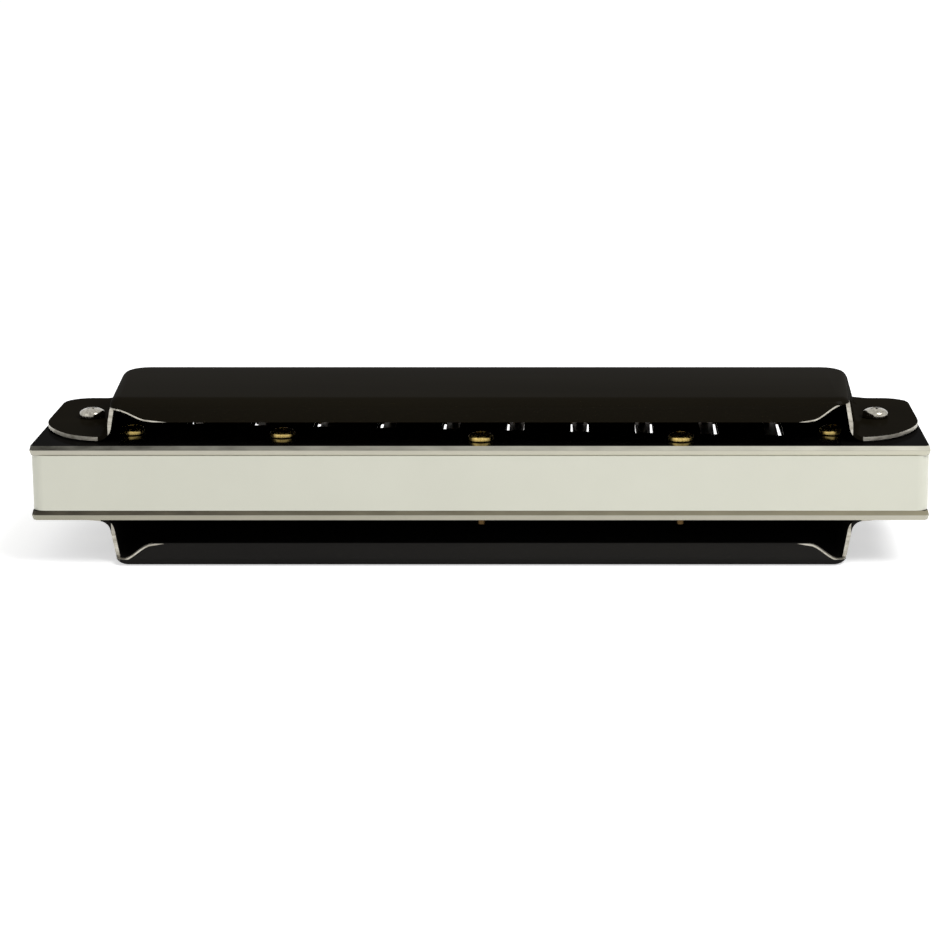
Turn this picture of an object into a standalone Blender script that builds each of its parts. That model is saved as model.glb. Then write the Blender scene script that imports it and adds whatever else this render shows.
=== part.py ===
"""Ten-hole diatonic harmonica, built as the loose pieces it comes apart into.

The comb lies between two reed plates, a pressed cover closes each side, and two long
screws with nuts hold the covers. The closed back of the comb faces -Y, the mouth holes
face +Y, and the instrument lies on the flat of its lower cover at Z = 0, centred on X
and Y. Hole 1, with the longest reeds, is at the +X end. All sizes are in metres.
"""

import math

import bmesh
import bpy
from mathutils import Matrix, Vector

# Holes, numbered from the +X end
HOLE_COUNT = 10
HOLE_PITCH = 0.0075

# Reed plates
PLATE_END_LAND = 0.01725
PLATE_DEPTH = 0.0270
PLATE_THICKNESS = 0.0011
PLATE_EDGE_RELIEF = 0.00014
PLATE_CORNER_CUT = 0.0004

# Comb
COMB_THICKNESS = 0.00635
COMB_END_INSET = 0.00005
COMB_CORNER_RADIUS = 0.0015
CHAMBER_WIDTH = 0.0050
CHAMBER_CORNER_RADIUS = 0.0007
CHAMBER_REAR_MARGIN = 0.0009
TOOTH_NOSE_RADIUS = 0.0005

# Reed slots, measured from the front and back edges of the plates
SLOT_WIDTH = 0.0021
SLOT_FRONT_INSET = 0.0060
SLOT_REAR_HOLE_1 = 0.0059
SLOT_REAR_HOLE_10 = 0.0124

# Reeds
REED_SIDE_CLEARANCE = 0.00014
REED_TIP_CLEARANCE = 0.00018
REED_TIP_NARROWING = 0.0002
REED_PLATE_CLEARANCE = 0.0003
REED_PAD_THICKNESS = 0.00045
REED_TIP_THICKNESS = 0.00022
REED_PAD_WIDTH = 0.0027
REED_PAD_LENGTH = 0.0029
REED_PAD_HOLE_CLEARANCE = 0.00025

# Rivets
RIVET_RADIUS = 0.00045
RIVET_SETBACK = 0.0015
RIVET_HEAD_RADIUS = 0.00095
RIVET_HEAD_HEIGHT = 0.00035
RIVET_HEAD_CLEARANCE = 0.00025
RIVET_TAIL_HEIGHT = 0.00022
RIVET_TAIL_SPREAD = 0.0002

# Plate screws, from the middle, from the end of the covers' tops and from the back edge
PLATE_SCREW_X_INNER = 0.0228
PLATE_SCREW_COVER_INSET = 0.0005
PLATE_SCREW_BACK = 0.0034
PLATE_SCREW_BACK_LEFT = 0.0055
PLATE_SCREW_BACK_OUTER = 0.0071
PLATE_SCREW_RADIUS = 0.00075
PLATE_SCREW_HEAD_RADIUS = 0.00145
PLATE_SCREW_HEAD_HEIGHT = 0.00095
PLATE_SCREW_TIP = 0.00115

# Covers
COVER_SHEET = 0.00045
COVER_HEIGHT = 0.00545
COVER_LIFT = 0.00015
COVER_BACK_INSET = 0.0001
COVER_END_ROOM = 0.00705
COVER_TOP_SPREAD = 0.0010
COVER_TOP_FRONT_INSET = 0.0080
COVER_TOP_REAR_CORNER = 0.0006
COVER_TOP_FRONT_CORNER = 0.0020
COVER_LIP_INSET = 0.0007
END_FOLD_RADIUS = 0.0011
END_DRAFT_DEG = 10.0
END_FOOT_RADIUS = 0.0013
BACK_FOLD_RADIUS = 0.0012
BACK_DRAFT_DEG = 2.0
BACK_FOOT_RADIUS = 0.0010
FRONT_FOLD_RADIUS = 0.0050
FRONT_DRAFT_DEG = 40.0
FRONT_FOOT_RADIUS = 0.0010

# Ears of the covers
EAR_END_INSET = 0.0002
EAR_ROOT_INSET = 0.0090
EAR_BACK = 0.0020
EAR_FRONT_INSET = 0.0020
EAR_CUT_ACROSS = 0.0046
EAR_CUT_ALONG = 0.0070
EAR_BACK_RADIUS = 0.0072
EAR_SIDE_RADIUS = 0.0120
EAR_FRONT_CORNER_RADIUS = 0.0030
EAR_LIP_BLEND = 0.0012

# Open back of the covers
WINDOW_HEIGHT = 0.00275
WINDOW_END_INSET = 0.0034
WINDOW_RISE_LENGTH = 0.0037
NOTCH_HEIGHT = 0.00465
NOTCH_HEIGHT_UPPER_LEFT = 0.0040

# Cover screws and nuts
COVER_SCREW_END_INSET = 0.00505
COVER_SCREW_RADIUS = 0.0010
COVER_SCREW_HEAD_RADIUS = 0.0015
COVER_SCREW_HEAD_HEIGHT = 0.0011
COVER_SCREW_TIP = 0.0004
NUT_ACROSS_FLATS = 0.0032
NUT_HEIGHT = 0.0012

# Fits
SEAT_GAP = 0.00003
SCREW_CLEARANCE = 0.00015
SHANK_CLEARANCE = 0.00004

# Facets
ARC_STEPS = 4
CORNER_STEPS = 6
FOLD_STEPS = 5
EAR_ARC_STEPS = 6
RISE_STEPS = 8
RIVET_SIDES = 8
SCREW_SIDES = 14

# Heights of the stack, from the flat of the lower cover upwards
LOWER_PLATE_BOTTOM = COVER_HEIGHT
LOWER_PLATE_TOP = LOWER_PLATE_BOTTOM + PLATE_THICKNESS
COMB_BOTTOM = LOWER_PLATE_TOP + SEAT_GAP
COMB_TOP = COMB_BOTTOM + COMB_THICKNESS
UPPER_PLATE_BOTTOM = COMB_TOP + SEAT_GAP
UPPER_PLATE_TOP = UPPER_PLATE_BOTTOM + PLATE_THICKNESS

# Places along X that follow from the row of holes
END_HOLE_X = HOLE_PITCH * (HOLE_COUNT - 1) / 2
PLATE_HALF = END_HOLE_X + PLATE_END_LAND
COMB_HALF = PLATE_HALF - COMB_END_INSET
COVER_TOP_HALF = END_HOLE_X + COVER_END_ROOM
WINDOW_HALF_STRAIGHT = COVER_TOP_HALF - WINDOW_END_INSET
PLATE_SCREW_X_OUTER = COVER_TOP_HALF - PLATE_SCREW_COVER_INSET
COVER_SCREW_X = PLATE_HALF - COVER_SCREW_END_INSET

# Places along Y
BACK = -PLATE_DEPTH / 2
FRONT = PLATE_DEPTH / 2
SLOT_FRONT = PLATE_DEPTH - SLOT_FRONT_INSET
COVER_TOP_FRONT = FRONT - COVER_TOP_FRONT_INSET

# How far cutters and trimmed skins run past the plates
OVERSIZE = 0.010


def clear_scene():
    for obj in list(bpy.data.objects):
        bpy.data.objects.remove(obj)


def new_collection(name):
    collection = bpy.data.collections.new(name)
    bpy.context.scene.collection.children.link(collection)
    return collection


def srgb(value):
    """One sRGB channel, 0 to 1, as linear light."""
    return value / 12.92 if value <= 0.04045 else ((value + 0.055) / 1.055) ** 2.4


def material(name, colour, roughness, metallic):
    """A finish from its sRGB hex colour."""
    made = bpy.data.materials.new(name)
    made.use_nodes = True
    shader = made.node_tree.nodes["Principled BSDF"]
    channels = [srgb(int(colour[i : i + 2], 16) / 255) for i in (0, 2, 4)]
    shader.inputs["Base Color"].default_value = (*channels, 1.0)
    shader.inputs["Roughness"].default_value = roughness
    shader.inputs["Metallic"].default_value = metallic
    made.diffuse_color = (*channels, 1.0)
    return made


def place(name, mesh, finish, collection, location=(0, 0, 0)):
    """One named piece of the instrument."""
    obj = bpy.data.objects.new(name, mesh)
    obj.location = location
    if not mesh.materials:
        mesh.materials.append(finish)
    collection.objects.link(obj)
    return obj


def shade(mesh, angle_deg=35):
    mesh.shade_smooth()
    mesh.set_sharp_from_angle(angle=math.radians(angle_deg))


def hole_x(number):
    """The middle of a hole: number 1 is at the +X end."""
    return END_HOLE_X - HOLE_PITCH * (number - 1)


def slot_rear(number):
    """The closed end of a hole's reed slot, from the back edge of the plates."""
    share = (number - 1) / (HOLE_COUNT - 1)
    return SLOT_REAR_HOLE_1 + share * (SLOT_REAR_HOLE_10 - SLOT_REAR_HOLE_1)


def circle(x, y, radius, sides):
    angles = [2 * math.pi * i / sides for i in range(sides)]
    return [(x + radius * math.cos(a), y + radius * math.sin(a)) for a in angles]


def rounded(corners, steps=ARC_STEPS):
    """A closed outline from (x, y, radius) corners, each corner with its tangent arc."""
    points = []
    for i, (x, y, radius) in enumerate(corners):
        corner = Vector((x, y))
        if radius == 0:
            points.append((x, y))
            continue
        before = (Vector(corners[i - 1][:2]) - corner).normalized()
        after = (Vector(corners[(i + 1) % len(corners)][:2]) - corner).normalized()
        half = before.angle(after) / 2
        centre = corner + (before + after).normalized() * radius / math.sin(half)
        start = corner + before * radius / math.tan(half) - centre
        turn = math.pi - 2 * half
        if before.cross(after) > 0:
            turn = -turn
        for step in range(steps + 1):
            arm = Matrix.Rotation(turn * step / steps, 2) @ start
            points.append(tuple(centre + arm))
    return points


def extruded(name, loops, low, high):
    """A flat outline with its holes, filled and extruded along Z from low to high."""
    curve = bpy.data.curves.new(name, "CURVE")
    curve.dimensions = "2D"
    curve.fill_mode = "BOTH"
    curve.extrude = (high - low) / 2
    for loop in loops:
        spline = curve.splines.new("POLY")
        spline.points.add(len(loop) - 1)
        for point, (x, y) in zip(spline.points, loop, strict=True):
            point.co = (x, y, 0, 1)
        spline.use_cyclic_u = True
    guide = bpy.data.objects.new(name, curve)
    bpy.context.scene.collection.objects.link(guide)
    graph = bpy.context.evaluated_depsgraph_get()
    mesh = bpy.data.meshes.new_from_object(guide.evaluated_get(graph))
    bpy.data.objects.remove(guide)
    bm = bmesh.new()
    bm.from_mesh(mesh)
    bmesh.ops.remove_doubles(bm, verts=bm.verts, dist=1e-6)
    bmesh.ops.translate(bm, verts=bm.verts, vec=(0, 0, (low + high) / 2))
    bmesh.ops.recalc_face_normals(bm, faces=bm.faces)
    bm.to_mesh(mesh)
    bm.free()
    mesh.materials.clear()
    return mesh


def turned(obj, sides):
    """A Screw modifier that turns the object's profile round its Z axis."""
    screw = obj.modifiers.new("Turn", "SCREW")
    screw.axis = "Z"
    screw.angle = 2 * math.pi
    screw.steps = sides
    screw.render_steps = sides
    screw.use_merge_vertices = True
    screw.merge_threshold = 1e-6
    screw.use_smooth_shade = False
    return obj


def profile_mesh(name, points):
    """A profile of (radius, height) points, from the top of the axis to the bottom."""
    mesh = bpy.data.meshes.new(name)
    vertices = [(radius, 0, height) for radius, height in points]
    mesh.from_pydata(vertices, [(i, i + 1) for i in range(len(points) - 1)], [])
    return mesh


def domed(radius, height, base, steps=ARC_STEPS):
    """The profile of a low domed head, from its crown to the edge of its flat seat."""
    side = height * 0.4
    rise = height - side
    arc = [math.pi / 2 * i / steps for i in range(steps + 1)]
    crown = [(radius * math.sin(a), base + side + rise * math.cos(a)) for a in arc]
    return [*crown, (radius, base)]


def plate_screws():
    """Where the five plate screws go: (x, distance from the back edge)."""
    return (
        (-PLATE_SCREW_X_OUTER, PLATE_SCREW_BACK_OUTER),
        (-PLATE_SCREW_X_INNER, PLATE_SCREW_BACK_LEFT),
        (0.0, PLATE_SCREW_BACK),
        (PLATE_SCREW_X_INNER, PLATE_SCREW_BACK),
        (PLATE_SCREW_X_OUTER, PLATE_SCREW_BACK_OUTER),
    )


def screw_holes(clearance):
    """The outlines of the holes that all five plate screws and both cover screws need."""
    plate = PLATE_SCREW_RADIUS + clearance
    cover = COVER_SCREW_RADIUS + SCREW_CLEARANCE
    holes = [circle(x, BACK + back, plate, SCREW_SIDES) for x, back in plate_screws()]
    holes += [circle(x, 0.0, cover, SCREW_SIDES) for x in (-COVER_SCREW_X, COVER_SCREW_X)]
    return holes


def make_comb(finish, collection):
    """Rear bar and teeth in one outline: a chamber for each hole, open to the front."""
    corners = [
        (-COMB_HALF, BACK, COMB_CORNER_RADIUS),
        (COMB_HALF, BACK, COMB_CORNER_RADIUS),
        (COMB_HALF, FRONT, COMB_CORNER_RADIUS),
    ]
    for number in range(1, HOLE_COUNT + 1):
        left = hole_x(number) - CHAMBER_WIDTH / 2
        right = hole_x(number) + CHAMBER_WIDTH / 2
        rear = BACK + slot_rear(number) - CHAMBER_REAR_MARGIN
        corners += [
            (right, FRONT, TOOTH_NOSE_RADIUS),
            (right, rear, CHAMBER_CORNER_RADIUS),
            (left, rear, CHAMBER_CORNER_RADIUS),
            (left, FRONT, TOOTH_NOSE_RADIUS),
        ]
    corners.append((-COMB_HALF, FRONT, COMB_CORNER_RADIUS))
    loops = [rounded(corners), *screw_holes(SCREW_CLEARANCE)]
    mesh = extruded("comb", loops, COMB_BOTTOM, COMB_TOP)
    shade(mesh)
    return place("comb", mesh, finish, collection)


def ridge_edges(mesh, bottom):
    """Sheared plate edges: the rim stands proud along the middle of its thickness."""
    middle = bottom + PLATE_THICKNESS / 2
    bm = bmesh.new()
    bm.from_mesh(mesh)
    bmesh.ops.bisect_plane(
        bm,
        geom=[*bm.verts, *bm.edges, *bm.faces],
        dist=1e-7,
        plane_co=(0, 0, middle),
        plane_no=(0, 0, 1),
    )
    reach = PLATE_CORNER_CUT + 1e-6
    for v in bm.verts:
        if abs(v.co.z - middle) < PLATE_THICKNESS / 4:
            continue
        if abs(v.co.x) > PLATE_HALF - reach:
            v.co.x -= math.copysign(PLATE_EDGE_RELIEF, v.co.x)
        if abs(v.co.y) > FRONT - reach:
            v.co.y -= math.copysign(PLATE_EDGE_RELIEF, v.co.y)
    bm.to_mesh(mesh)
    bm.free()


def make_reed_plate(name, bottom, finish, collection):
    """A flat plate with ten slots, ten rivet holes and the seven screw holes."""
    cut = PLATE_CORNER_CUT
    outline = []
    for sx, sy in ((-1, -1), (1, -1), (1, 1), (-1, 1)):
        along = (sx * (PLATE_HALF - cut), sy * FRONT)
        across = (sx * PLATE_HALF, sy * (FRONT - cut))
        outline += [along, across] if sx * sy < 0 else [across, along]
    loops = [outline, *screw_holes(SCREW_CLEARANCE)]
    for number in range(1, HOLE_COUNT + 1):
        left = hole_x(number) - SLOT_WIDTH / 2
        right = hole_x(number) + SLOT_WIDTH / 2
        rear = BACK + slot_rear(number)
        front = BACK + SLOT_FRONT
        loops.append([(left, rear), (right, rear), (right, front), (left, front)])
        rivet = RIVET_RADIUS + SHANK_CLEARANCE
        loops.append(circle(hole_x(number), front + RIVET_SETBACK, rivet, RIVET_SIDES))
    mesh = extruded(name, loops, bottom, bottom + PLATE_THICKNESS)
    ridge_edges(mesh, bottom)
    return place(name, mesh, finish, collection)


def reed_mesh(name, number):
    """A reed about its hinge line: wide pad in front, blade tapering back to the tip."""
    length = SLOT_FRONT - slot_rear(number) - REED_TIP_CLEARANCE
    root = SLOT_WIDTH / 2 - REED_SIDE_CLEARANCE
    tip = root - REED_TIP_NARROWING
    pad = REED_PAD_WIDTH / 2
    outline = [
        (-pad, 0),
        (-root, 0),
        (-tip, -length),
        (tip, -length),
        (root, 0),
        (pad, 0),
        (pad, REED_PAD_LENGTH),
        (-pad, REED_PAD_LENGTH),
    ]
    hole = circle(0, RIVET_SETBACK, RIVET_RADIUS + REED_PAD_HOLE_CLEARANCE, RIVET_SIDES)
    half = REED_PAD_THICKNESS / 2
    mesh = extruded(name, [outline, hole], -half, half)
    for vertex in mesh.vertices:
        if vertex.co.y < -length / 2 and vertex.co.z < 0:
            vertex.co.z = half - REED_TIP_THICKNESS
    return mesh


def make_reeds(kind, plate_bottom, finish, collection):
    """Ten reeds under a plate. Each one's origin lies on the axis it swings about."""
    height = plate_bottom - REED_PLATE_CLEARANCE - REED_PAD_THICKNESS / 2
    for number in range(1, HOLE_COUNT + 1):
        name = f"{kind}_reed_{number}"
        location = (hole_x(number), BACK + SLOT_FRONT, height)
        place(name, reed_mesh(name, number), finish, collection, location)


def make_rivets(kind, plate_bottom, finish, collection):
    """Ten rivets: head under the reed's pad, shank through it, tail on the plate."""
    pad_bottom = plate_bottom - REED_PLATE_CLEARANCE - REED_PAD_THICKNESS
    head_top = pad_bottom - RIVET_HEAD_CLEARANCE
    tail = plate_bottom + PLATE_THICKNESS + SEAT_GAP
    spread = RIVET_RADIUS + RIVET_TAIL_SPREAD
    profile = [
        (0, tail + RIVET_TAIL_HEIGHT),
        (RIVET_RADIUS, tail + RIVET_TAIL_HEIGHT),
        (spread, tail),
        (RIVET_RADIUS, tail),
        (RIVET_RADIUS, head_top),
        (RIVET_HEAD_RADIUS, head_top),
        (RIVET_HEAD_RADIUS * 0.75, head_top - RIVET_HEAD_HEIGHT),
        (0, head_top - RIVET_HEAD_HEIGHT),
    ]
    mesh = profile_mesh(f"{kind}_rivet", profile)
    for number in range(1, HOLE_COUNT + 1):
        location = (hole_x(number), BACK + SLOT_FRONT + RIVET_SETBACK, 0)
        obj = place(f"{kind}_rivet_{number}", mesh, finish, collection, location)
        turned(obj, RIVET_SIDES)


def make_plate_screws(finish, collection):
    """Domed screws from the upper plate through the comb to below the lower plate."""
    seat = UPPER_PLATE_TOP + SEAT_GAP
    tip = LOWER_PLATE_BOTTOM - PLATE_SCREW_TIP
    taper = PLATE_SCREW_RADIUS * 0.7
    profile = [
        *domed(PLATE_SCREW_HEAD_RADIUS, PLATE_SCREW_HEAD_HEIGHT, seat),
        (PLATE_SCREW_RADIUS, seat),
        (PLATE_SCREW_RADIUS, tip + PLATE_SCREW_RADIUS - taper),
        (taper, tip),
        (0, tip),
    ]
    mesh = profile_mesh("plate_screw", profile)
    for number, (x, back) in enumerate(plate_screws(), 1):
        name = f"plate_screw_{number}"
        obj = place(name, mesh, finish, collection, (x, BACK + back, 0))
        turned(obj, SCREW_SIDES)


def make_cover_fasteners(finish, collection):
    """The two long screws that hold the covers, and a nut on each."""
    seat = UPPER_PLATE_TOP + COVER_LIFT + COVER_SHEET + SEAT_GAP
    nut_top = LOWER_PLATE_BOTTOM - COVER_LIFT - COVER_SHEET - SEAT_GAP
    nut_bottom = nut_top - NUT_HEIGHT
    tip = nut_bottom - COVER_SCREW_TIP
    profile = [
        *domed(COVER_SCREW_HEAD_RADIUS, COVER_SCREW_HEAD_HEIGHT, seat),
        (COVER_SCREW_RADIUS, seat),
        (COVER_SCREW_RADIUS, nut_bottom),
        (COVER_SCREW_RADIUS * 0.8, tip),
        (0, tip),
    ]
    screw = profile_mesh("cover_screw", profile)
    bore = circle(0, 0, COVER_SCREW_RADIUS + SHANK_CLEARANCE, SCREW_SIDES)
    hexagon = circle(0, 0, NUT_ACROSS_FLATS / math.sqrt(3), 6)
    nut = extruded("cover_nut", [hexagon, bore], nut_bottom, nut_top)
    for side, x in (("left", -COVER_SCREW_X), ("right", COVER_SCREW_X)):
        obj = place(f"cover_screw_{side}", screw, finish, collection, (x, 0, 0))
        turned(obj, SCREW_SIDES)
        place(f"cover_nut_{side}", nut, finish, collection, (x, 0, 0))


def press_profile(fold_radius, draft_deg, foot_radius):
    """(outward offset, height) down one pressed side, from the flat top to the flange."""
    turn = math.radians(90 - draft_deg)
    flange = COVER_LIFT + COVER_SHEET
    fold = [turn * i / FOLD_STEPS for i in range(FOLD_STEPS + 1)]
    down = [
        (fold_radius * math.sin(a), COVER_HEIGHT - fold_radius * (1 - math.cos(a)))
        for a in fold
    ]
    last_offset, last_height = down[-1]
    foot_rise = foot_radius * (1 - math.cos(turn))
    wall_drop = last_height - flange - foot_rise
    foot_start = last_offset + wall_drop / math.tan(turn)
    reach = foot_start + foot_radius * math.sin(turn)
    foot = [turn * (1 - i / FOLD_STEPS) for i in range(FOLD_STEPS + 1)]
    down += [
        (reach - foot_radius * math.sin(a), flange + foot_radius * (1 - math.cos(a)))
        for a in foot
    ]
    return [*down, (reach + OVERSIZE, flange)]


def pressed_surface(name):
    """The outer skin of a cover: rings from the flat top down to a wide flange."""
    end = press_profile(END_FOLD_RADIUS, END_DRAFT_DEG, END_FOOT_RADIUS)
    back = press_profile(BACK_FOLD_RADIUS, BACK_DRAFT_DEG, BACK_FOOT_RADIUS)
    front = press_profile(FRONT_FOLD_RADIUS, FRONT_DRAFT_DEG, FRONT_FOOT_RADIUS)
    turn = math.radians(90 - BACK_DRAFT_DEG)
    rear_edge = BACK + COVER_BACK_INSET + BACK_FOLD_RADIUS * math.sin(turn)
    rear_x = COVER_TOP_HALF - COVER_TOP_REAR_CORNER
    rear_y = rear_edge + COVER_TOP_REAR_CORNER
    front_x = COVER_TOP_HALF + COVER_TOP_SPREAD - COVER_TOP_FRONT_CORNER
    front_y = COVER_TOP_FRONT - COVER_TOP_FRONT_CORNER
    # Each corner: its centre, its plan radius, the profile ahead of it, start angle
    corners = (
        (rear_x, rear_y, COVER_TOP_REAR_CORNER, back, -90),
        (front_x, front_y, COVER_TOP_FRONT_CORNER, front, 0),
        (-front_x, front_y, COVER_TOP_FRONT_CORNER, front, 90),
        (-rear_x, rear_y, COVER_TOP_REAR_CORNER, back, 180),
    )
    bm = bmesh.new()
    rings = []
    for level in range(len(end)):
        ring = []
        for x, y, radius, facing, start in corners:
            for step in range(CORNER_STEPS + 1):
                angle = math.radians(start + 90 * step / CORNER_STEPS)
                towards_end = math.cos(angle) ** 2
                offset = facing[level][0] + towards_end * (end[level][0] - facing[level][0])
                height = facing[level][1] + towards_end * (end[level][1] - facing[level][1])
                arm = radius + offset
                point = (x + arm * math.cos(angle), y + arm * math.sin(angle), height)
                ring.append(bm.verts.new(point))
        rings.append(ring)
    bm.faces.new(rings[0])
    for upper, lower in zip(rings, rings[1:]):
        for i, corner in enumerate(upper):
            bm.faces.new((corner, upper[i - 1], lower[i - 1], lower[i]))
    bmesh.ops.recalc_face_normals(bm, faces=bm.faces)
    mesh = bpy.data.meshes.new(name)
    bm.to_mesh(mesh)
    bm.free()
    return mesh


def cover_outline():
    """The trimmed edge of the sheet in plan, from the back left corner round."""
    far_back = BACK - OVERSIZE / 2
    ear_back = BACK + EAR_BACK
    ear_front = FRONT - EAR_FRONT_INSET
    lip = FRONT - COVER_LIP_INSET
    end = PLATE_HALF - EAR_END_INSET
    root = PLATE_HALF - EAR_ROOT_INSET
    blend = EAR_LIP_BLEND
    half = [
        (root, far_back, 0),
        (root, ear_back, 0),
        (end - EAR_CUT_ACROSS, ear_back, EAR_BACK_RADIUS),
        (end, ear_back + EAR_CUT_ALONG, EAR_SIDE_RADIUS),
        (end, ear_front, EAR_FRONT_CORNER_RADIUS),
        (COVER_SCREW_X, ear_front, blend),
        (COVER_SCREW_X - 2 * blend, lip, blend),
    ]
    return rounded(half + [(-x, y, r) for x, y, r in reversed(half)], EAR_ARC_STEPS)


def window_outline(notch_left, notch_right):
    """What is cut from the back of a cover, seen from behind as X and height."""
    rise = [i / RISE_STEPS for i in range(RISE_STEPS + 1)]
    right, left = [], []
    for share in rise:
        x = WINDOW_HALF_STRAIGHT + share * WINDOW_RISE_LENGTH
        ease = share * share * (3 - 2 * share)
        right.append((x, WINDOW_HEIGHT + ease * (notch_right - WINDOW_HEIGHT)))
        left.append((-x, WINDOW_HEIGHT + ease * (notch_left - WINDOW_HEIGHT)))
    side = PLATE_HALF + OVERSIZE
    bottom = -OVERSIZE
    return [
        (-side, bottom),
        (side, bottom),
        (side, notch_right),
        *reversed(right),
        *left,
        (-side, notch_left),
    ]


def boolean(obj, cutter, operation):
    cut = obj.modifiers.new(f"{operation.title()} {cutter.name}", "BOOLEAN")
    cut.object = cutter
    cut.operation = operation
    cut.solver = "EXACT"


def cutter(name, mesh, collection):
    obj = bpy.data.objects.new(name, mesh)
    obj.hide_render = True
    obj.display_type = "WIRE"
    collection.objects.link(obj)
    return obj


def make_cover(name, placement, notches, finish, collection, cutters):
    """Press the sheet, trim it in plan with its screw holes, then open its back."""
    clearance = COVER_SCREW_RADIUS + SCREW_CLEARANCE
    holes = [circle(x, 0, clearance, SCREW_SIDES) for x in (-COVER_SCREW_X, COVER_SCREW_X)]
    trim = extruded(f"{name}_trim", [cover_outline(), *holes], -OVERSIZE, OVERSIZE)
    window = extruded(f"{name}_window", [window_outline(*notches)], 0, OVERSIZE)
    stand = Matrix.Rotation(math.radians(90), 4, "X")
    window.transform(Matrix.Translation((0, BACK + EAR_BACK, 0)) @ stand)
    skin = pressed_surface(name)
    for mesh in (trim, window, skin):
        mesh.transform(placement)
    cover = place(name, skin, finish, collection)
    wall = cover.modifiers.new("Sheet", "SOLIDIFY")
    wall.thickness = COVER_SHEET
    wall.offset = -1
    wall.use_even_offset = True
    wall.use_quality_normals = True
    boolean(cover, cutter(f"{name}_trim", trim, cutters), "INTERSECT")
    boolean(cover, cutter(f"{name}_window", window, cutters), "DIFFERENCE")
    return cover


def build():
    clear_scene()
    pieces = new_collection("Harmonica")
    cutters = new_collection("Cutters")
    ivory = material("Ivory comb plastic", "D5D7C9", 0.35, 0.0)
    black_plate = material("Black plated brass", "15130F", 0.15, 1.0)
    black_cover = material("Black coated sheet steel", "1B1813", 0.30, 1.0)
    brass = material("Reed brass", "C2A05A", 0.30, 1.0)
    screw_brass = material("Bright screw brass", "CDB36B", 0.25, 1.0)
    nickel = material("Nickel plate", "C9C6BD", 0.20, 1.0)

    make_comb(ivory, pieces)
    make_reed_plate("blow_reed_plate", UPPER_PLATE_BOTTOM, black_plate, pieces)
    make_reed_plate("draw_reed_plate", LOWER_PLATE_BOTTOM, black_plate, pieces)
    for kind, plate_bottom in (("blow", UPPER_PLATE_BOTTOM), ("draw", LOWER_PLATE_BOTTOM)):
        make_reeds(kind, plate_bottom, brass, pieces)
        make_rivets(kind, plate_bottom, screw_brass, pieces)
    make_plate_screws(screw_brass, pieces)
    make_cover_fasteners(nickel, pieces)

    above = Matrix.Translation((0, 0, UPPER_PLATE_TOP))
    below = Matrix.Translation((0, 0, LOWER_PLATE_BOTTOM)) @ Matrix.Rotation(math.pi, 4, "Y")
    upper_notches = (NOTCH_HEIGHT_UPPER_LEFT, NOTCH_HEIGHT)
    lower_notches = (NOTCH_HEIGHT, NOTCH_HEIGHT)
    make_cover("upper_cover", above, upper_notches, black_cover, pieces, cutters)
    make_cover("lower_cover", below, lower_notches, black_cover, pieces, cutters)


build()
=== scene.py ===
# %% [markdown]
# # A ten-hole diatonic harmonica
# The instrument is a sandwich: an ivory plastic comb between two black reed plates, with a
# pressed black cover on each side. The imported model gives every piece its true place, so this
# lesson is about finishes, small hardware and light. All lengths are in metres.

# %% Load the frame and note its size
import math

import bmesh
import bpy
from mathutils import Matrix, Vector


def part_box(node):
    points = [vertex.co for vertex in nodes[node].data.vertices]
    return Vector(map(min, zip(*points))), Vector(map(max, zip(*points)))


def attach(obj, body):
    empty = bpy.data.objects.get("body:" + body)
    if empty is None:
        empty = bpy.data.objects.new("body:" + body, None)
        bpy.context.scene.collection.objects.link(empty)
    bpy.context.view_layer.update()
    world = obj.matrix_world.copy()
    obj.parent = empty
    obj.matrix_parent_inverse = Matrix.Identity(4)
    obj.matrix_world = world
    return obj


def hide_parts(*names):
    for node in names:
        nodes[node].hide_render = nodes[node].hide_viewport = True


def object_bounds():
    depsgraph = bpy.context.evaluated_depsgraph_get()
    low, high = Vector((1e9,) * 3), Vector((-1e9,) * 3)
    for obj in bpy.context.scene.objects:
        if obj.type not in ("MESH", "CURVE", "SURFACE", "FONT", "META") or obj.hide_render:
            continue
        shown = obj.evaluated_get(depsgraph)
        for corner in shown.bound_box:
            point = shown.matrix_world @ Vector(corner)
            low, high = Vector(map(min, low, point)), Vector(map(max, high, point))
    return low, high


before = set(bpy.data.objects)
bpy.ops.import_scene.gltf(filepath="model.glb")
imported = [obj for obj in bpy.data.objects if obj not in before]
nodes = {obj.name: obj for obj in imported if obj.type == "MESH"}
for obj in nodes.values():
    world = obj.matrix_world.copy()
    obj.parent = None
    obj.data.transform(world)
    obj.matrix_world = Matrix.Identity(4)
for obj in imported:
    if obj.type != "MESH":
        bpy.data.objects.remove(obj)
cad_box = [list(corner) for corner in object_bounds()]
print("CAD box:", cad_box)

# %% [markdown]
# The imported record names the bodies. Everything except the reeds is screwed into one rigid
# body, so every new piece of hardware below rides on that one.

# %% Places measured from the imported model
BODY = "harmonica"
PLATE_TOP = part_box("blow_reed_plate")[1].z
PLATE_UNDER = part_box("draw_reed_plate")[0].z
MID_LEVEL = (PLATE_TOP + PLATE_UNDER) / 2
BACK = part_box("comb")[0].y
MM = 0.001
print("plate top at", round(PLATE_TOP / MM, 2), "mm")

# %% [markdown]
# Colours are easiest to judge on screen as sRGB hex values, while shaders work in linear
# light. One function converts. Another adds a shader node with its settings and its links,
# which keeps each material readable as a short list of steps.

# %% Colour and node helpers
def linear(hex_colour):
    """An sRGB hex colour as linear RGBA."""
    channels = [int(hex_colour[i : i + 2], 16) / 255 for i in (0, 2, 4)]
    light = [c / 12.92 if c <= 0.04045 else ((c + 0.055) / 1.055) ** 2.4 for c in channels]
    return (*light, 1.0)


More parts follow.
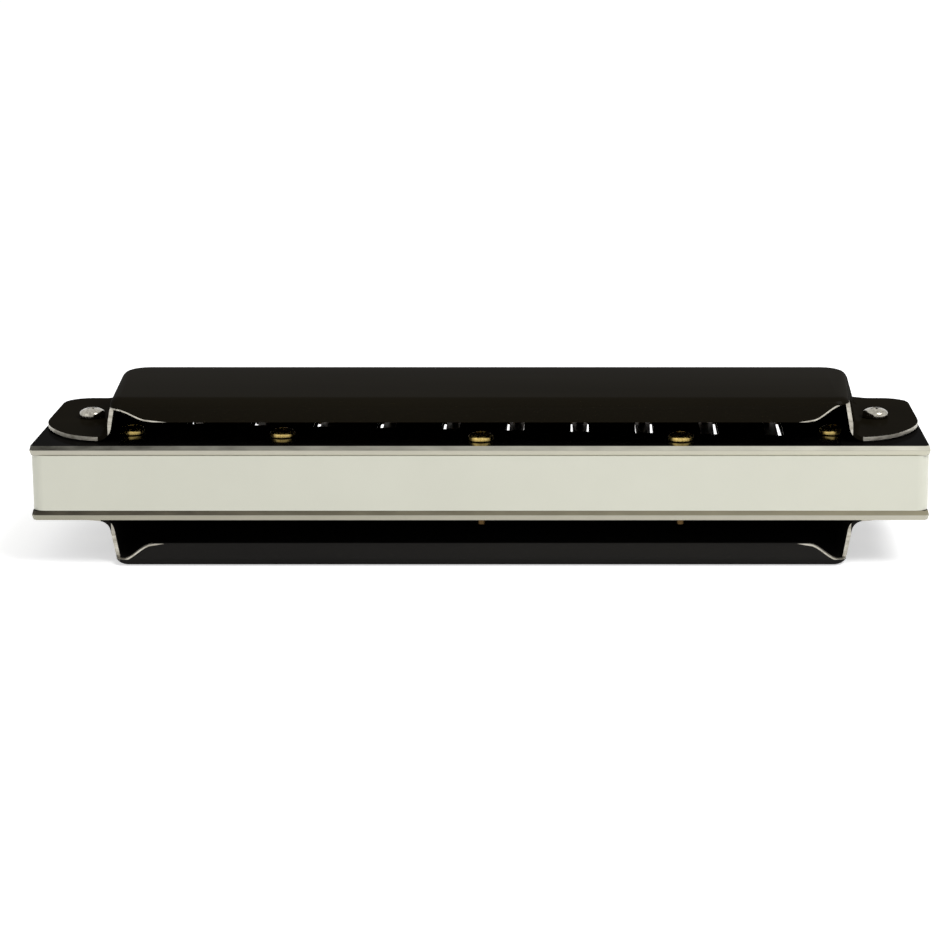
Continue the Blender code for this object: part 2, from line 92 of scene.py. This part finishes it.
def add(tree, kind, settings=None, links=None):
    """A node of that kind, with attributes and input values set, and inputs linked."""
    node = tree.nodes.new(kind)
    for key, value in (settings or {}).items():
        if key in node.inputs:
            node.inputs[key].default_value = value
        else:
            setattr(node, key, value)
    for key, socket in (links or {}).items():
        tree.links.new(socket, node.inputs[key])
    return node


def finish_tree(name):
    """A new material, its node tree and its Principled shader."""
    made = bpy.data.materials.new(name)
    made.use_nodes = True
    return made, made.node_tree, made.node_tree.nodes["Principled BSDF"]


def ramp(tree, factor, stops):
    """A colour ramp through (position, hex colour) stops."""
    node = add(tree, "ShaderNodeValToRGB", links={"Fac": factor})
    elements = node.color_ramp.elements
    while len(elements) < len(stops):
        elements.new(0.5)
    for element, (position, colour) in zip(elements, stops, strict=True):
        element.position = position
        element.color = linear(colour)
    return node.outputs["Color"]


def spots(tree, size_mm, detail=3.0, stretch=(1, 1, 1)):
    """Noise whose features are about size_mm across, in the piece's own coordinates."""
    where = add(tree, "ShaderNodeTexCoord").outputs["Object"]
    scaled = add(tree, "ShaderNodeMapping", {"Scale": stretch}, {"Vector": where})
    settings = {"Scale": 1000 / size_mm, "Detail": detail, "Roughness": 0.55}
    links = {"Vector": scaled.outputs["Vector"]}
    return add(tree, "ShaderNodeTexNoise", settings, links).outputs["Fac"]


NOISE_LOW = 0.3
NOISE_HIGH = 0.7


def mottled(tree, noise, dark, light):
    """Noise turned into a drift between two colours."""
    return ramp(tree, noise, [(NOISE_LOW, dark), (NOISE_HIGH, light)])


def rising(tree, value, low, high, to_low, to_high):
    """to_low where the value is low, rising to to_high where it is high."""
    settings = {"From Min": low, "From Max": high, "To Min": to_low, "To Max": to_high}
    return add(tree, "ShaderNodeMapRange", settings, {"Value": value}).outputs["Result"]


def spread(tree, noise, to_low, to_high):
    """Noise turned into a drift between two values."""
    return rising(tree, noise, NOISE_LOW, NOISE_HIGH, to_low, to_high)


def place(tree, axis):
    """A coordinate, X, Y or Z, in the piece's own space."""
    where = add(tree, "ShaderNodeTexCoord").outputs["Object"]
    return add(tree, "ShaderNodeSeparateXYZ", links={"Vector": where}).outputs[axis]


# A Mix node lists the sockets of every data type in turn. These are the ones for colour.
MIX_INPUTS = (0, 6, 7)
MIX_OUTPUT = 2


def blend(tree, factor, first, second):
    """The first colour where the factor is 0 and the second where it is 1."""
    node = add(tree, "ShaderNodeMix", {"data_type": "RGBA"})
    for socket, source in zip(MIX_INPUTS, (factor, first, second), strict=True):
        tree.links.new(source, node.inputs[socket])
    return node.outputs[MIX_OUTPUT]


def bump(tree, height, depth_mm):
    """A normal that makes the height look depth_mm deep."""
    settings = {"Strength": 1.0, "Distance": depth_mm * MM}
    return add(tree, "ShaderNodeBump", settings, {"Height": height}).outputs["Normal"]


# %% [markdown]
# The comb is injection-moulded ABS. Off a polished tool it comes out satin, with faint flow
# marks a few millimetres long, and its warm ivory hardly changes across the piece.

# %% Moulded ivory ABS
ABS_IOR = 1.53


def moulded_abs():
    made, tree, shader = finish_tree("Moulded ivory ABS")
    tint = mottled(tree, spots(tree, 14.0), "D6D6C7", "DADACB")
    tree.links.new(tint, shader.inputs["Base Color"])
    flow = spots(tree, 1.6, stretch=(0.35, 1, 1))
    tree.links.new(spread(tree, flow, 0.30, 0.38), shader.inputs["Roughness"])
    tree.links.new(bump(tree, spots(tree, 0.5), 0.004), shader.inputs["Normal"])
    shader.inputs["IOR"].default_value = ABS_IOR
    return made


ivory_abs = moulded_abs()

# %% [markdown]
# The reed plates are brass sheet plated black. Shearing cuts through the plating, so the rim
# all round is bare. A thin bare line along the top of each slot wall is a painted glint. A
# sheared edge has two bands: a burnished one where the blade cut, and a torn, duller one where
# the sheet broke. All of this is found in the shader, from places on the plate and the way that
# a face looks, so the plate stays one piece.
#
# Real plating is as glossy at the ends as in the middle. Seen this low in a white studio it
# would mirror the white and look grey, where the photograph shows black. So the plain
# specular is off, and a coat brings the mirror back only under the covers, where it shows
# their dark inside and the screws. The edges' colours run from dark at the left to light at the
# right because the photograph's do, and that ramp is painted light.

# %% Black plated brass with bare sheared edges
RIM_MM = 0.3
SLOT_GLINT_MM = 0.12
COVERED_MM = 41.0
TORN_SHARE = 0.45
HANDLED_GLOSS = 0.02
MIRROR_GLOSS = 0.9
STREAK_SHARE = 0.16
STEEPEST_FLAT = 0.8


def beyond(tree, value, limit, operation="GREATER_THAN"):
    """1 where the value passes the limit."""
    test = add(tree, "ShaderNodeMath", {"operation": operation})
    tree.links.new(value, test.inputs[0])
    test.inputs[1].default_value = limit
    return test.outputs[0]


def combined(tree, first, second, operation):
    """Two values put together by a Math node."""
    both = add(tree, "ShaderNodeMath", {"operation": operation})
    tree.links.new(first, both.inputs[0])
    tree.links.new(second, both.inputs[1])
    return both.outputs[0]


def absolute(tree, value):
    """The value without its sign."""
    size = add(tree, "ShaderNodeMath", {"operation": "ABSOLUTE"})
    tree.links.new(value, size.inputs[0])
    return size.outputs[0]


def upright(tree, operation="LESS_THAN"):
    """1 on faces that stand upright, or with GREATER_THAN on those that lie flat."""
    normal = add(tree, "ShaderNodeNewGeometry").outputs["Normal"]
    facing = add(tree, "ShaderNodeSeparateXYZ", links={"Vector": normal})
    return beyond(tree, absolute(tree, facing.outputs["Z"]), STEEPEST_FLAT, operation)


def cut_and_glint_mask(tree, low, high):
    """1 on the bare rim and on the slot walls' tops, a painted glint; 0 on the plating."""
    end = beyond(tree, absolute(tree, place(tree, "X")), high.x - RIM_MM * MM)
    long_side = beyond(tree, absolute(tree, place(tree, "Y")), high.y - RIM_MM * MM)
    rim = combined(tree, end, long_side, "MAXIMUM")
    # A painted glint: the top of each slot wall is made bare and bright.
    line = beyond(tree, place(tree, "Z"), high.z - SLOT_GLINT_MM * MM)
    bare = combined(tree, rim, line, "MAXIMUM")
    return combined(tree, bare, upright(tree), "MULTIPLY")


def plated_sheet(name, node, torn_band_painted_ramp, cut_band_painted_ramp):
    """Plating and bare cuts. Each band's colour pair, left to right, is a painted ramp of light.
    """
    low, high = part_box(node)
    made, tree, face = finish_tree(name)
    output = tree.nodes["Material Output"]
    face.inputs["Base Color"].default_value = linear("0B0A09")
    face.inputs["Specular IOR Level"].default_value = 0.0
    covered = beyond(tree, absolute(tree, place(tree, "X")), COVERED_MM * MM, "LESS_THAN")
    mirror = combined(tree, covered, upright(tree, "GREATER_THAN"), "MULTIPLY")
    gloss = rising(tree, mirror, 0, 1, HANDLED_GLOSS, MIRROR_GLOSS)
    tree.links.new(gloss, face.inputs["Coat Weight"])
    haze = spots(tree, 3.0, stretch=(0.3, 1, 1))
    tree.links.new(spread(tree, haze, 0.03, 0.06), face.inputs["Coat Roughness"])
    edge = add(tree, "ShaderNodeBsdfPrincipled", {"Metallic": 1.0, "Roughness": 0.30})
    grain = spots(tree, 0.9, detail=4.0, stretch=(0.25, 0.25, 1))
    length = rising(tree, place(tree, "X"), low.x, high.x, 0, 1 - STREAK_SHARE)
    along = combined(tree, length, spread(tree, grain, 0.0, STREAK_SHARE), "ADD")
    # The left-to-right ramp of each band's colours is painted light.
    torn = ramp(tree, along, [(0, torn_band_painted_ramp[0]), (1, torn_band_painted_ramp[1])])
    cut = ramp(tree, along, [(0, cut_band_painted_ramp[0]), (1, cut_band_painted_ramp[1])])
    split = high.z - TORN_SHARE * (high.z - low.z)
    band = beyond(tree, place(tree, "Z"), split)
    tree.links.new(blend(tree, band, cut, torn), edge.inputs["Base Color"])
    tree.links.new(bump(tree, grain, 0.006), edge.inputs["Normal"])
    both = add(tree, "ShaderNodeMixShader", links={"Fac": cut_and_glint_mask(tree, low, high)})
    tree.links.new(face.outputs[0], both.inputs[1])
    tree.links.new(edge.outputs[0], both.inputs[2])
    tree.links.new(both.outputs[0], output.inputs["Surface"])
    return made


# The two plates' edges are the same bare brass but get different colour pairs: painted light.
plate_finish = {
    "blow_reed_plate": plated_sheet(
        "Black plated brass, upper", "blow_reed_plate", ("14120F", "D6D4C4"), ("A29F93", "B5B3A3")
    ),
    "draw_reed_plate": plated_sheet(
        "Black plated brass, lower", "draw_reed_plate", ("302C27", "96907A"), ("8C897B", "A8A598")
    ),
}

# %% [markdown]
# The covers are thin steel, pressed and then lacquered a warm black. Rolling left faint
# streaks along the length. Where the steel is cut, it is bare, with the fine tears of the
# shear.
#
# Real lacquer has one gloss and one colour all over. As on the plates, its plain specular is
# off here, and a faint coat stands in for it. The coat grows from the flanges to the crown,
# because that is how the photograph looks. The lower cover is a greyer black: painted light,
# where the floor lights it.

# %% Lacquered pressed steel and its bare cut edge
CROWN_FOOT = PLATE_TOP - MID_LEVEL + 1.0 * MM
CROWN_TOP = PLATE_TOP - MID_LEVEL + 5.0 * MM
CROWN_GLOSS = 0.032
FLANGE_GLOSS = 0.01


def lacquered_steel():
    made, tree, shader = finish_tree("Black lacquered pressed steel")
    cloud = spots(tree, 9.0, stretch=(0.15, 1, 1))
    upper = mottled(tree, cloud, "14110B", "18150E")
    # The lower cover's greyer black is painted light from the floor below.
    lower = mottled(tree, cloud, "201F1E", "252422")
    is_upper = beyond(tree, place(tree, "Z"), MID_LEVEL)
    tree.links.new(blend(tree, is_upper, lower, upper), shader.inputs["Base Color"])
    shader.inputs["Specular IOR Level"].default_value = 0.0
    level = add(tree, "ShaderNodeMath", {"operation": "SUBTRACT"})
    tree.links.new(place(tree, "Z"), level.inputs[0])
    level.inputs[1].default_value = MID_LEVEL
    off_middle = absolute(tree, level.outputs[0])
    gloss = rising(tree, off_middle, CROWN_FOOT, CROWN_TOP, FLANGE_GLOSS, CROWN_GLOSS)
    tree.links.new(gloss, shader.inputs["Coat Weight"])
    streaks = spots(tree, 0.9, stretch=(0.03, 1, 1))
    tree.links.new(spread(tree, streaks, 0.07, 0.14), shader.inputs["Coat Roughness"])
    rolled = bump(tree, spots(tree, 0.8, stretch=(0.05, 1, 1)), 0.0008)
    tree.links.new(rolled, shader.inputs["Normal"])
    return made


def bare_steel():
    made, tree, shader = finish_tree("Bare cut steel edge")
    shear = spots(tree, 0.3, stretch=(0.3, 0.3, 1))
    tree.links.new(mottled(tree, shear, "8F8A7E", "C2BEB3"), shader.inputs["Base Color"])
    shader.inputs["Metallic"].default_value = 1.0
    shader.inputs["Roughness"].default_value = 0.42
    return made


lacquer = lacquered_steel()
cut_steel = bare_steel()

# %% [markdown]
# Reeds, rivets and plate screws are brass. Reeds are filed along their length to tune them,
# which leaves fine scratches. The screws are turned and stay bright. Their tips look a dull
# brown in the shade below the lower plate, so they get darker colours there. The cover screws
# and nuts are nickel plated.

# %% Brass and nickel
def worked_metal(name, low, high, roughness, mark_mm, stretch, tips=None):
    """Metal with tool marks. tips: a darker colour pair, painted shade, below the plates."""
    made, tree, shader = finish_tree(name)
    marks = spots(tree, mark_mm, stretch=stretch)
    colour = mottled(tree, marks, low, high)
    if tips:
        shaded = mottled(tree, marks, *tips)
        above = beyond(tree, place(tree, "Z"), PLATE_UNDER)
        colour = blend(tree, above, shaded, colour)
    tree.links.new(colour, shader.inputs["Base Color"])
    rough = spread(tree, marks, roughness * 0.8, roughness * 1.25)
    tree.links.new(rough, shader.inputs["Roughness"])
    tree.links.new(bump(tree, marks, 0.004), shader.inputs["Normal"])
    shader.inputs["Metallic"].default_value = 1.0
    return made


TURNED = (1, 1, 0.4)
FILED = (1, 0.06, 1)
# Painted shade: the screw tips below the lower plate get these darker colours.
SHADED_TIPS = ("3E2F1C", "5E4A2E")

# The reed brass is darker than the screws': painted shade, as the reeds lie in the covers'
# shadow.
filed_brass = worked_metal("Filed reed brass", "5E4A28", "785F33", 0.34, 0.15, FILED)
turned_brass = worked_metal(
    "Turned screw brass", "B79A55", "DCC47C", 0.28, 0.25, TURNED, SHADED_TIPS
)
nickel = worked_metal("Nickel plated steel", "88847A", "B6B2A7", 0.14, 0.25, TURNED)

# %% [markdown]
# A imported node's mesh is loose triangles, so it can't be shaded smoothly. For the comb and
# the covers a copy is merged, its flat areas are dissolved into clean faces, and its sharp
# edges get a small bevel, which is what catches the light on a real moulding or pressing.

# %% Smooth copies of the comb and covers
SMOOTH_ANGLE = math.radians(32)
FLAT_ANGLE = math.radians(0.5)
WELD = 1e-6


def merged_copy(node, name):
    """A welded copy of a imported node, standing for it."""
    mesh = bpy.data.meshes.new(name)
    bm = bmesh.new()
    bm.from_mesh(nodes[node].data)
    bmesh.ops.remove_doubles(bm, verts=bm.verts, dist=WELD)
    bmesh.ops.dissolve_limit(bm, angle_limit=FLAT_ANGLE, verts=bm.verts, edges=bm.edges)
    bm.to_mesh(mesh)
    bm.free()
    mesh.materials.clear()
    piece = bpy.data.objects.new(name, mesh)
    bpy.context.scene.collection.objects.link(piece)
    mesh.shade_smooth()
    mesh.set_sharp_from_angle(angle=SMOOTH_ANGLE)
    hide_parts(node)
    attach(piece, BODY)
    return piece


def soften(piece, width_mm):
    """Round the sharp edges a little, as tools and tumbling leave them."""
    rounding = piece.modifiers.new("Edge radius", "BEVEL")
    rounding.width = width_mm * MM
    rounding.segments = 2
    rounding.limit_method = "ANGLE"
    rounding.angle_limit = SMOOTH_ANGLE
    rounding.harden_normals = True
    rounding.miter_outer = "MITER_ARC"


COMB_EDGE_MM = 0.18

comb = merged_copy("comb", "ivory_comb")
comb.data.materials.append(ivory_abs)
soften(comb, COMB_EDGE_MM)
print("comb faces:", len(comb.data.polygons))

# %% [markdown]
# In the photograph a cover shows bare metal on its trimmed rim and in the two notches of its
# open back, and hardly any on the straight edge between them. The bare faces are found by
# where they are and which way they look: the rim stands upright on the flange, and the
# notches are cut straight through the wall.

# %% Bare cut faces of a cover
WINDOW_BACK = BACK + 2.0 * MM
FLANGE_MM = 0.62
WINDOW_LOW_MM = 2.6
WINDOW_HIGH_MM = 4.8
NOTCH_START_MM = 37.0
NEAR_MM = 0.01
UPRIGHT_TILT = 0.1
UNDER_TILT = -0.6
SIDEWAYS = 0.02
STRAIGHT_BACK = -0.99


def is_cut(centre, normal, plate, side):
    """Whether a cover's face is a bare cut. side is -1 for the lower cover."""
    above_mm = (centre.z - plate) * side / MM
    tilt = normal.z * side
    on_rim = above_mm < FLANGE_MM and abs(tilt) < UPRIGHT_TILT
    in_window = WINDOW_LOW_MM < above_mm < WINDOW_HIGH_MM
    under = in_window and abs(normal.y) < SIDEWAYS and tilt < UNDER_TILT
    across = abs(centre.y - WINDOW_BACK) < NEAR_MM * MM and normal.y < STRAIGHT_BACK
    in_notch = abs(centre.x) > NOTCH_START_MM * MM
    return on_rim or (in_notch and (under or across))


# %% [markdown]
# A bright line of bare metal draws the curve of each notch. The cut faces look down, away
# from the camera, so the outer edges get a narrow bevel of bare steel. It is somewhat wider
# than a real edge would be, so that the line shows.

# %% Bright bevels on the notches
NOTCH_BEVEL_MM = 0.24
SKIN_BACK = -0.3
SKIN_UP = 0.05
BARE = 1
COVER_EDGE_MM = 0.06


def notch_edges(bm, plate, side):
    """The outer edges of a cover's two notches, where the skin meets the cut."""
    found = []
    for edge in bm.edges:
        ends = [(vert.co.z - plate) * side / MM for vert in edge.verts]
        off_middle = min(abs(vert.co.x) for vert in edge.verts) > NOTCH_START_MM * MM
        behind = max(vert.co.y for vert in edge.verts) < WINDOW_BACK + NEAR_MM * MM
        in_window = min(ends) > WINDOW_LOW_MM and max(ends) < WINDOW_HIGH_MM
        if not (off_middle and behind and in_window and len(edge.link_faces) == 2):
            continue
        cuts = [is_cut(f.calc_center_median(), f.normal, plate, side) for f in edge.link_faces]
        skin = [f for f, cut in zip(edge.link_faces, cuts, strict=True) if not cut]
        if len(skin) != 1:
            continue
        facing = skin[0].normal
        if facing.y < SKIN_BACK or facing.z * side > SKIN_UP:
            found.append(edge)
    return found


def bevel_notches(cover, plate, side):
    """Bevel the notches' outer edges to bare steel, and say how many there are."""
    bm = bmesh.new()
    bm.from_mesh(cover.data)
    bm.normal_update()
    edges = notch_edges(bm, plate, side)
    bevelled = bmesh.ops.bevel(
        bm,
        geom=edges,
        offset=NOTCH_BEVEL_MM * MM,
        affect="EDGES",
        segments=2,
        profile=0.5,
        material=-1,
    )
    for face in bevelled["faces"]:
        face.material_index = BARE
    bm.to_mesh(cover.data)
    bm.free()
    cover.data.set_sharp_from_angle(angle=SMOOTH_ANGLE)
    return len(edges)


for node, name, plate, side in (
    ("upper_cover", "upper_cover_pressing", PLATE_TOP, 1),
    ("lower_cover", "lower_cover_pressing", PLATE_UNDER, -1),
):
    cover = merged_copy(node, name)
    cover.data.materials.append(lacquer)
    cover.data.materials.append(cut_steel)
    for face in cover.data.polygons:
        face.material_index = int(is_cut(face.center, face.normal, plate, side))
    edge_count = bevel_notches(cover, plate, side)
    soften(cover, COVER_EDGE_MM)
    print(name, "bevelled notch edges:", edge_count)

# %% [markdown]
# Plates, reeds, rivets and nuts are cut or punched with crisp edges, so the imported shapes
# already say all that shows. They keep their meshes, and only get their finishes.

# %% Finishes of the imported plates, reeds, rivets and nuts
def packed_finish(name):
    """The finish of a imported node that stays, or None for one that a new piece replaces."""
    if name in plate_finish:
        return plate_finish[name]
    kinds = {"_reed_": filed_brass, "_rivet_": turned_brass, "cover_nut": nickel}
    return next((finish for kind, finish in kinds.items() if kind in name), None)


finished = 0
for name, node in nodes.items():
    finish = packed_finish(name)
    if finish:
        node.data.materials.clear()
        node.data.materials.append(finish)
        finished += 1
print("packed pieces finished:", finished)

# %% [markdown]
# Screw heads draw the eye, so they are turned finely and get a driver recess. Spinning a
# profile round the axis makes the head, and a tapered cross, cut with a Boolean, makes the
# recess that a cross-head driver fits. Which driver the real screws take can't be read in
# the photograph.

# %% Turned screws with cross recesses
SPIN_STEPS = 40
DRIVER_TURN_DEG = 20
TIP_REACH = 0.45
TIP_WIDTH = 0.7
DOME_STEPS = 8
HEAD_SIDE = 0.38
SEAT_CHAMFER = 0.08 * MM
SHANK_TAPER = 0.97


def turned_mesh(name, profile, x, y):
    """A profile of (radius, height), top to bottom, spun round the axis at x, y."""
    bm = bmesh.new()
    points = [bm.verts.new((x + radius, y, height)) for radius, height in profile]
    edges = [bm.edges.new(pair) for pair in zip(points, points[1:])]
    bmesh.ops.spin(
        bm,
        geom=points + edges,
        cent=(x, y, 0),
        axis=(0, 0, 1),
        angle=2 * math.pi,
        steps=SPIN_STEPS,
        use_merge=True,
    )
    bmesh.ops.remove_doubles(bm, verts=bm.verts, dist=WELD)
    bmesh.ops.recalc_face_normals(bm, faces=bm.faces)
    mesh = bpy.data.meshes.new(name)
    bm.to_mesh(mesh)
    bm.free()
    return mesh


def cross_cutter(width, reach, depth, x, y, top):
    """Two crossed bars that taper downwards, as the tip of a cross-head driver does."""
    bm = bmesh.new()
    for turn in (math.radians(DRIVER_TURN_DEG), math.radians(DRIVER_TURN_DEG + 90)):
        bar = bmesh.ops.create_cube(bm, size=1.0)["verts"]
        bmesh.ops.scale(bm, vec=(2 * reach, width, 2 * depth), verts=bar)
        for vert in bar:
            if vert.co.z < 0:
                vert.co.x *= TIP_REACH
                vert.co.y *= TIP_WIDTH
        bmesh.ops.rotate(bm, verts=bar, matrix=Matrix.Rotation(turn, 3, "Z"))
    bmesh.ops.translate(bm, verts=bm.verts, vec=(x, y, top))
    mesh = bpy.data.meshes.new("cross_recess")
    bm.to_mesh(mesh)
    bm.free()
    return mesh


def screw(node, profile, recess, finish):
    """A detailed screw in the place of a packed one. recess is (width, reach, depth)."""
    low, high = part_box(node)
    x, y = (low.x + high.x) / 2, (low.y + high.y) / 2
    placed = [(radius, low.z if level is None else high.z - level) for radius, level in profile]
    piece = bpy.data.objects.new(f"{node}_turned", turned_mesh(node, placed, x, y))
    bpy.context.scene.collection.objects.link(piece)
    width, reach, depth = recess
    tool = bpy.data.objects.new("recess", cross_cutter(width, reach, depth, x, y, high.z))
    bpy.context.scene.collection.objects.link(tool)
    cut = piece.modifiers.new("Recess", "BOOLEAN")
    cut.object = tool
    cut.operation = "DIFFERENCE"
    cut.solver = "EXACT"
    cut.use_self = True
    graph = bpy.context.evaluated_depsgraph_get()
    piece.data = bpy.data.meshes.new_from_object(piece.evaluated_get(graph))
    piece.modifiers.clear()
    bpy.data.objects.remove(tool)
    piece.data.shade_smooth()
    piece.data.set_sharp_from_angle(angle=SMOOTH_ANGLE)
    piece.data.materials.clear()
    piece.data.materials.append(finish)
    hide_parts(node)
    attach(piece, BODY)


def head_profile(radius, height, shank):
    """A low dome over a short rolled side, then the seat and the shank to the tip."""
    side = height * HEAD_SIDE
    crown = height - side
    dome = []
    for step in range(DOME_STEPS + 1):
        angle = math.pi / 2 * step / DOME_STEPS
        dome.append((radius * math.sin(angle), crown * (1 - math.cos(angle))))
    under = [(radius, height - SEAT_CHAMFER), (radius - SEAT_CHAMFER, height)]
    return [*dome, *under, (shank, height), (shank * SHANK_TAPER, None), (0.0, None)]


PLATE_SCREW = head_profile(1.45 * MM, 0.95 * MM, 0.55 * MM)
PLATE_RECESS = (0.28 * MM, 0.75 * MM, 0.5 * MM)
COVER_SCREW = head_profile(1.5 * MM, 1.1 * MM, 0.97 * MM)
COVER_RECESS = (0.34 * MM, 0.85 * MM, 0.6 * MM)
for number in range(1, 6):
    screw(f"plate_screw_{number}", PLATE_SCREW, PLATE_RECESS, turned_brass)
for side in ("left", "right"):
    screw(f"cover_screw_{side}", COVER_SCREW, COVER_RECESS, nickel)
print("screws made")

# %% [markdown]
# A pale floor and a white world make the plain studio. The world looks white to the camera
# and in reflections, while the light that it gives the object stays at a plain level.

# %% Floor and world
FLOOR_SIZE = 3.0
FLOOR_DROP = 0.02 * MM
FLOOR_GLOW = 0.55
WORLD_LIGHT = 0.50

floor_mesh = bpy.data.meshes.new("studio_floor")
bm = bmesh.new()
bmesh.ops.create_grid(bm, x_segments=1, y_segments=1, size=FLOOR_SIZE / 2)
bmesh.ops.translate(bm, verts=bm.verts, vec=(0, 0, cad_box[0][2] - FLOOR_DROP))
bm.to_mesh(floor_mesh)
bm.free()
floor = bpy.data.objects.new("studio_floor", floor_mesh)
bpy.context.scene.collection.objects.link(floor)


def seen_directly(tree):
    """1 for a ray from the camera or from a mirror or glass, and 0 for light."""
    rays = add(tree, "ShaderNodeLightPath").outputs
    either = combined(tree, rays["Is Camera Ray"], rays["Is Glossy Ray"], "MAXIMUM")
    return combined(tree, either, rays["Is Transmission Ray"], "MAXIMUM")


floor_paint, tree, shader = finish_tree("Pale studio floor")
shader.inputs["Base Color"].default_value = linear("F4F4F4")
shader.inputs["Roughness"].default_value = 0.9
shader.inputs["Specular IOR Level"].default_value = 0.0
shader.inputs["Emission Color"].default_value = linear("FFFFFF")
glow = add(tree, "ShaderNodeMath", {"operation": "MULTIPLY"})
tree.links.new(seen_directly(tree), glow.inputs[0])
glow.inputs[1].default_value = FLOOR_GLOW
tree.links.new(glow.outputs[0], shader.inputs["Emission Strength"])
floor_mesh.materials.append(floor_paint)

world = bpy.data.worlds.new("White studio")
bpy.context.scene.world = world
world.use_nodes = True
tree = world.node_tree
backdrop = tree.nodes["Background"]
backdrop.inputs["Color"].default_value = linear("FFFFFF")
level = add(tree, "ShaderNodeMapRange", {"To Min": WORLD_LIGHT, "To Max": 1.0})
tree.links.new(seen_directly(tree), level.inputs["Value"])
tree.links.new(level.outputs["Result"], backdrop.inputs["Strength"])

# %% [markdown]
# One large soft lamp above and to the right gives the light its direction, and a weaker one
# from the front left fills the shadows.

# %% Lamps
def soft_lamp(name, location, size, power):
    """A disc-shaped lamp that looks at the middle of the instrument."""
    data = bpy.data.lights.new(name, "AREA")
    data.shape = "DISK"
    data.size = size
    data.energy = power
    lamp = bpy.data.objects.new(name, data)
    lamp.location = location
    lamp.rotation_euler = (-Vector(location)).to_track_quat("-Z", "Y").to_euler()
    bpy.context.scene.collection.objects.link(lamp)


soft_lamp("key_lamp", (0.35, -0.25, 0.55), 0.4, 2.9)
soft_lamp("fill_lamp", (-0.5, -0.45, 0.25), 0.5, 0.4)

# %% [markdown]
# The camera's place and lens were worked out from the plate's edges in the photograph. It
# looks level along +Y, tilted down by about thirteen degrees, with its picture shifted so
# that the instrument sits where it does there.

# %% Camera
FOCAL_PX = 2904
FRAME_PX = 950
CENTRE_PX = 585
TILT_DEG = 12.77
SENSOR_MM = 36

camera_data = bpy.data.cameras.new("camera")
camera_data.sensor_width = SENSOR_MM
camera_data.lens = FOCAL_PX / FRAME_PX * SENSOR_MM
camera_data.shift_x = (FRAME_PX / 2 - CENTRE_PX) / FRAME_PX
camera = bpy.data.objects.new("camera", camera_data)
camera.location = (0.01188, -0.3341, 0.0834)
camera.rotation_euler = (math.radians(90 - TILT_DEG), 0, 0)
bpy.context.scene.collection.objects.link(camera)
bpy.context.scene.camera = camera
bpy.context.scene.view_settings.view_transform = "Standard"
